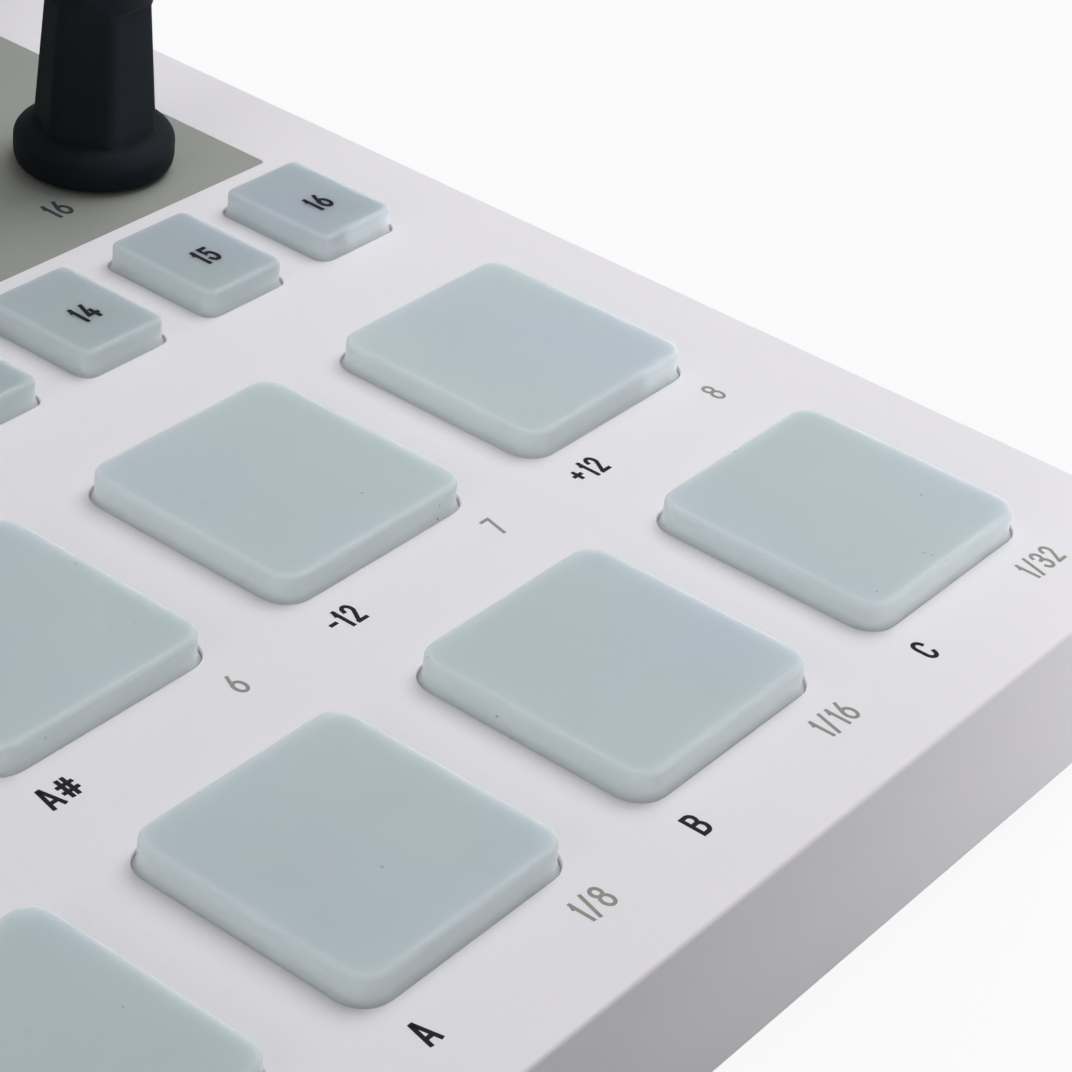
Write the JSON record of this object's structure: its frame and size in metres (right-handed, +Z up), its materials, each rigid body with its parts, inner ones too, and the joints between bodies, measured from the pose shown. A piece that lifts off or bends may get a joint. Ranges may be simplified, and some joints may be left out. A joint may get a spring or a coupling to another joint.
{
  "type": "midi pad controller",
  "caption": "Flat table-top controller with two rows of square pads, a row of step buttons, two rows of tall endless knobs, transport buttons and a touch strip.",
  "frame": {"origin": "middle of the surface that the feet stand on", "axes": "+X to the player's right along the rows of keys, +Y to the back, +Z up"},
  "size_m": [0.4146, 0.164, 0.038],
  "materials": {
    "case_white": "fine matte texture",
    "silicone": "milky translucent silicone",
    "panel_grey": "matte print",
    "soft_touch": "soft-touch matte",
    "board_green": "solder mask",
    "painted_steel": "fine powder coat",
    "rubber": "matte",
    "switch_black": "matte"
  },
  "bodies": {
    "chassis": {"top_case": "case_white", "encoder_panel": "panel_grey", "control_panel": "panel_grey", "circuit_board": "board_green", "base_plate": "painted_steel", "foot_front": "rubber", "foot_rear": "rubber"},
    "pad_01": {"pad_01": "silicone"},
    "pad_02": {"pad_02": "silicone"},
    "pad_03": {"pad_03": "silicone"},
    "pad_04": {"pad_04": "silicone"},
    "pad_05": {"pad_05": "silicone"},
    "pad_06": {"pad_06": "silicone"},
    "pad_07": {"pad_07": "silicone"},
    "pad_08": {"pad_08": "silicone"},
    "pad_09": {"pad_09": "silicone"},
    "pad_10": {"pad_10": "silicone"},
    "pad_11": {"pad_11": "silicone"},
    "pad_12": {"pad_12": "silicone"},
    "pad_13": {"pad_13": "silicone"},
    "pad_14": {"pad_14": "silicone"},
    "pad_15": {"pad_15": "silicone"},
    "pad_16": {"pad_16": "silicone"},
    "step_button_01": {"step_button_01": "silicone"},
    "step_button_02": {"step_button_02": "silicone"},
    "step_button_03": {"step_button_03": "silicone"},
    "step_button_04": {"step_button_04": "silicone"},
    "step_button_05": {"step_button_05": "silicone"},
    "step_button_06": {"step_button_06": "silicone"},
    "step_button_07": {"step_button_07": "silicone"},
    "step_button_08": {"step_button_08": "silicone"},
    "step_button_09": {"step_button_09": "silicone"},
    "step_button_10": {"step_button_10": "silicone"},
    "step_button_11": {"step_button_11": "silicone"},
    "step_button_12": {"step_button_12": "silicone"},
    "step_button_13": {"step_button_13": "silicone"},
    "step_button_14": {"step_button_14": "silicone"},
    "step_button_15": {"step_button_15": "silicone"},
    "step_button_16": {"step_button_16": "silicone"},
    "transport_button_record": {"transport_button_record": "silicone"},
    "transport_button_stop": {"transport_button_stop": "silicone"},
    "transport_button_play": {"transport_button_play": "silicone"},
    "encoder_knob_01": {"encoder_knob_01": "soft_touch"},
    "encoder_knob_02": {"encoder_knob_02": "soft_touch"},
    "encoder_knob_03": {"encoder_knob_03": "soft_touch"},
    "encoder_knob_04": {"encoder_knob_04": "soft_touch"},
    "encoder_knob_05": {"encoder_knob_05": "soft_touch"},
    "encoder_knob_06": {"encoder_knob_06": "soft_touch"},
    "encoder_knob_07": {"encoder_knob_07": "soft_touch"},
    "encoder_knob_08": {"encoder_knob_08": "soft_touch"},
    "encoder_knob_09": {"encoder_knob_09": "soft_touch"},
    "encoder_knob_10": {"encoder_knob_10": "soft_touch"},
    "encoder_knob_11": {"encoder_knob_11": "soft_touch"},
    "encoder_knob_12": {"encoder_knob_12": "soft_touch"},
    "encoder_knob_13": {"encoder_knob_13": "soft_touch"},
    "encoder_knob_14": {"encoder_knob_14": "soft_touch"},
    "encoder_knob_15": {"encoder_knob_15": "soft_touch"},
    "encoder_knob_16": {"encoder_knob_16": "soft_touch"},
    "tempo_knob": {"tempo_knob": "soft_touch"},
    "power_switch_lever": {"power_switch_lever": "switch_black"}
  },
  "joints": [
    {"name": "pad_01_press", "type": "slide", "parent": "chassis", "child": "pad_01", "axis": [0, 0, 1], "range_m": [-0.001, 0], "stiffness_N_per_m": 1500, "springref_m": 0.0004},
    {"name": "pad_02_press", "type": "slide", "parent": "chassis", "child": "pad_02", "axis": [0, 0, 1], "range_m": [-0.001, 0], "stiffness_N_per_m": 1500, "springref_m": 0.0004},
    {"name": "pad_03_press", "type": "slide", "parent": "chassis", "child": "pad_03", "axis": [0, 0, 1], "range_m": [-0.001, 0], "stiffness_N_per_m": 1500, "springref_m": 0.0004},
    {"name": "pad_04_press", "type": "slide", "parent": "chassis", "child": "pad_04", "axis": [0, 0, 1], "range_m": [-0.001, 0], "stiffness_N_per_m": 1500, "springref_m": 0.0004},
    {"name": "pad_05_press", "type": "slide", "parent": "chassis", "child": "pad_05", "axis": [0, 0, 1], "range_m": [-0.001, 0], "stiffness_N_per_m": 1500, "springref_m": 0.0004},
    {"name": "pad_06_press", "type": "slide", "parent": "chassis", "child": "pad_06", "axis": [0, 0, 1], "range_m": [-0.001, 0], "stiffness_N_per_m": 1500, "springref_m": 0.0004},
    {"name": "pad_07_press", "type": "slide", "parent": "chassis", "child": "pad_07", "axis": [0, 0, 1], "range_m": [-0.001, 0], "stiffness_N_per_m": 1500, "springref_m": 0.0004},
    {"name": "pad_08_press", "type": "slide", "parent": "chassis", "child": "pad_08", "axis": [0, 0, 1], "range_m": [-0.001, 0], "stiffness_N_per_m": 1500, "springref_m": 0.0004},
    {"name": "pad_09_press", "type": "slide", "parent": "chassis", "child": "pad_09", "axis": [0, 0, 1], "range_m": [-0.001, 0], "stiffness_N_per_m": 1500, "springref_m": 0.0004},
    {"name": "pad_10_press", "type": "slide", "parent": "chassis", "child": "pad_10", "axis": [0, 0, 1], "range_m": [-0.001, 0], "stiffness_N_per_m": 1500, "springref_m": 0.0004},
    {"name": "pad_11_press", "type": "slide", "parent": "chassis", "child": "pad_11", "axis": [0, 0, 1], "range_m": [-0.001, 0], "stiffness_N_per_m": 1500, "springref_m": 0.0004},
    {"name": "pad_12_press", "type": "slide", "parent": "chassis", "child": "pad_12", "axis": [0, 0, 1], "range_m": [-0.001, 0], "stiffness_N_per_m": 1500, "springref_m": 0.0004},
    {"name": "pad_13_press", "type": "slide", "parent": "chassis", "child": "pad_13", "axis": [0, 0, 1], "range_m": [-0.001, 0], "stiffness_N_per_m": 1500, "springref_m": 0.0004},
    {"name": "pad_14_press", "type": "slide", "parent": "chassis", "child": "pad_14", "axis": [0, 0, 1], "range_m": [-0.001, 0], "stiffness_N_per_m": 1500, "springref_m": 0.0004},
    {"name": "pad_15_press", "type": "slide", "parent": "chassis", "child": "pad_15", "axis": [0, 0, 1], "range_m": [-0.001, 0], "stiffness_N_per_m": 1500, "springref_m": 0.0004},
    {"name": "pad_16_press", "type": "slide", "parent": "chassis", "child": "pad_16", "axis": [0, 0, 1], "range_m": [-0.001, 0], "stiffness_N_per_m": 1500, "springref_m": 0.0004},
    {"name": "step_button_01_press", "type": "slide", "parent": "chassis", "child": "step_button_01", "axis": [0, 0, 1], "range_m": [-0.001, 0], "stiffness_N_per_m": 1000, "springref_m": 0.0004},
    {"name": "step_button_02_press", "type": "slide", "parent": "chassis", "child": "step_button_02", "axis": [0, 0, 1], "range_m": [-0.001, 0], "stiffness_N_per_m": 1000, "springref_m": 0.0004},
    {"name": "step_button_03_press", "type": "slide", "parent": "chassis", "child": "step_button_03", "axis": [0, 0, 1], "range_m": [-0.001, 0], "stiffness_N_per_m": 1000, "springref_m": 0.0004},
    {"name": "step_button_04_press", "type": "slide", "parent": "chassis", "child": "step_button_04", "axis": [0, 0, 1], "range_m": [-0.001, 0], "stiffness_N_per_m": 1000, "springref_m": 0.0004},
    {"name": "step_button_05_press", "type": "slide", "parent": "chassis", "child": "step_button_05", "axis": [0, 0, 1], "range_m": [-0.001, 0], "stiffness_N_per_m": 1000, "springref_m": 0.0004},
    {"name": "step_button_06_press", "type": "slide", "parent": "chassis", "child": "step_button_06", "axis": [0, 0, 1], "range_m": [-0.001, 0], "stiffness_N_per_m": 1000, "springref_m": 0.0004},
    {"name": "step_button_07_press", "type": "slide", "parent": "chassis", "child": "step_button_07", "axis": [0, 0, 1], "range_m": [-0.001, 0], "stiffness_N_per_m": 1000, "springref_m": 0.0004},
    {"name": "step_button_08_press", "type": "slide", "parent": "chassis", "child": "step_button_08", "axis": [0, 0, 1], "range_m": [-0.001, 0], "stiffness_N_per_m": 1000, "springref_m": 0.0004},
    {"name": "step_button_09_press", "type": "slide", "parent": "chassis", "child": "step_button_09", "axis": [0, 0, 1], "range_m": [-0.001, 0], "stiffness_N_per_m": 1000, "springref_m": 0.0004},
    {"name": "step_button_10_press", "type": "slide", "parent": "chassis", "child": "step_button_10", "axis": [0, 0, 1], "range_m": [-0.001, 0], "stiffness_N_per_m": 1000, "springref_m": 0.0004},
    {"name": "step_button_11_press", "type": "slide", "parent": "chassis", "child": "step_button_11", "axis": [0, 0, 1], "range_m": [-0.001, 0], "stiffness_N_per_m": 1000, "springref_m": 0.0004},
    {"name": "step_button_12_press", "type": "slide", "parent": "chassis", "child": "step_button_12", "axis": [0, 0, 1], "range_m": [-0.001, 0], "stiffness_N_per_m": 1000, "springref_m": 0.0004},
    {"name": "step_button_13_press", "type": "slide", "parent": "chassis", "child": "step_button_13", "axis": [0, 0, 1], "range_m": [-0.001, 0], "stiffness_N_per_m": 1000, "springref_m": 0.0004},
    {"name": "step_button_14_press", "type": "slide", "parent": "chassis", "child": "step_button_14", "axis": [0, 0, 1], "range_m": [-0.001, 0], "stiffness_N_per_m": 1000, "springref_m": 0.0004},
    {"name": "step_button_15_press", "type": "slide", "parent": "chassis", "child": "step_button_15", "axis": [0, 0, 1], "range_m": [-0.001, 0], "stiffness_N_per_m": 1000, "springref_m": 0.0004},
    {"name": "step_button_16_press", "type": "slide", "parent": "chassis", "child": "step_button_16", "axis": [0, 0, 1], "range_m": [-0.001, 0], "stiffness_N_per_m": 1000, "springref_m": 0.0004},
    {"name": "transport_button_record_press", "type": "slide", "parent": "chassis", "child": "transport_button_record", "axis": [0, 0, 1], "range_m": [-0.001, 0], "stiffness_N_per_m": 1000, "springref_m": 0.0004},
    {"name": "transport_button_stop_press", "type": "slide", "parent": "chassis", "child": "transport_button_stop", "axis": [0, 0, 1], "range_m": [-0.001, 0], "stiffness_N_per_m": 1000, "springref_m": 0.0004},
    {"name": "transport_button_play_press", "type": "slide", "parent": "chassis", "child": "transport_button_play", "axis": [0, 0, 1], "range_m": [-0.001, 0], "stiffness_N_per_m": 1000, "springref_m": 0.0004},
    {"name": "encoder_knob_01_turn", "type": "hinge", "parent": "chassis", "child": "encoder_knob_01", "pos_m": [-0.032, 0.05685, 0.0189], "axis": [0, 0, 1], "continuous": true},
    {"name": "encoder_knob_02_turn", "type": "hinge", "parent": "chassis", "child": "encoder_knob_02", "pos_m": [-0.001, 0.05685, 0.0189], "axis": [0, 0, 1], "continuous": true},
    {"name": "encoder_knob_03_turn", "type": "hinge", "parent": "chassis", "child": "encoder_knob_03", "pos_m": [0.03, 0.05685, 0.0189], "axis": [0, 0, 1], "continuous": true},
    {"name": "encoder_knob_04_turn", "type": "hinge", "parent": "chassis", "child": "encoder_knob_04", "pos_m": [0.061, 0.05685, 0.0189], "axis": [0, 0, 1], "continuous": true},
    {"name": "encoder_knob_05_turn", "type": "hinge", "parent": "chassis", "child": "encoder_knob_05", "pos_m": [0.092, 0.05685, 0.0189], "axis": [0, 0, 1], "continuous": true},
    {"name": "encoder_knob_06_turn", "type": "hinge", "parent": "chassis", "child": "encoder_knob_06", "pos_m": [0.123, 0.05685, 0.0189], "axis": [0, 0, 1], "continuous": true},
    {"name": "encoder_knob_07_turn", "type": "hinge", "parent": "chassis", "child": "encoder_knob_07", "pos_m": [0.154, 0.05685, 0.0189], "axis": [0, 0, 1], "continuous": true},
    {"name": "encoder_knob_08_turn", "type": "hinge", "parent": "chassis", "child": "encoder_knob_08", "pos_m": [0.185, 0.05685, 0.0189], "axis": [0, 0, 1], "continuous": true},
    {"name": "encoder_knob_09_turn", "type": "hinge", "parent": "chassis", "child": "encoder_knob_09", "pos_m": [-0.032, 0.02635, 0.0189], "axis": [0, 0, 1], "continuous": true},
    {"name": "encoder_knob_10_turn", "type": "hinge", "parent": "chassis", "child": "encoder_knob_10", "pos_m": [-0.001, 0.02635, 0.0189], "axis": [0, 0, 1], "continuous": true},
    {"name": "encoder_knob_11_turn", "type": "hinge", "parent": "chassis", "child": "encoder_knob_11", "pos_m": [0.03, 0.02635, 0.0189], "axis": [0, 0, 1], "continuous": true},
    {"name": "encoder_knob_12_turn", "type": "hinge", "parent": "chassis", "child": "encoder_knob_12", "pos_m": [0.061, 0.02635, 0.0189], "axis": [0, 0, 1], "continuous": true},
    {"name": "encoder_knob_13_turn", "type": "hinge", "parent": "chassis", "child": "encoder_knob_13", "pos_m": [0.092, 0.02635, 0.0189], "axis": [0, 0, 1], "continuous": true},
    {"name": "encoder_knob_14_turn", "type": "hinge", "parent": "chassis", "child": "encoder_knob_14", "pos_m": [0.123, 0.02635, 0.0189], "axis": [0, 0, 1], "continuous": true},
    {"name": "encoder_knob_15_turn", "type": "hinge", "parent": "chassis", "child": "encoder_knob_15", "pos_m": [0.154, 0.02635, 0.0189], "axis": [0, 0, 1], "continuous": true},
    {"name": "encoder_knob_16_turn", "type": "hinge", "parent": "chassis", "child": "encoder_knob_16", "pos_m": [0.185, 0.02635, 0.0189], "axis": [0, 0, 1], "continuous": true},
    {"name": "tempo_knob_turn", "type": "hinge", "parent": "chassis", "child": "tempo_knob", "pos_m": [-0.1791, 0.0416, 0.0189], "axis": [0, 0, 1], "continuous": true},
    {"name": "power_switch_slide", "type": "slide", "parent": "chassis", "child": "power_switch_lever", "axis": [1, 0, 0], "range_m": [0, 0.003]}
  ]
}
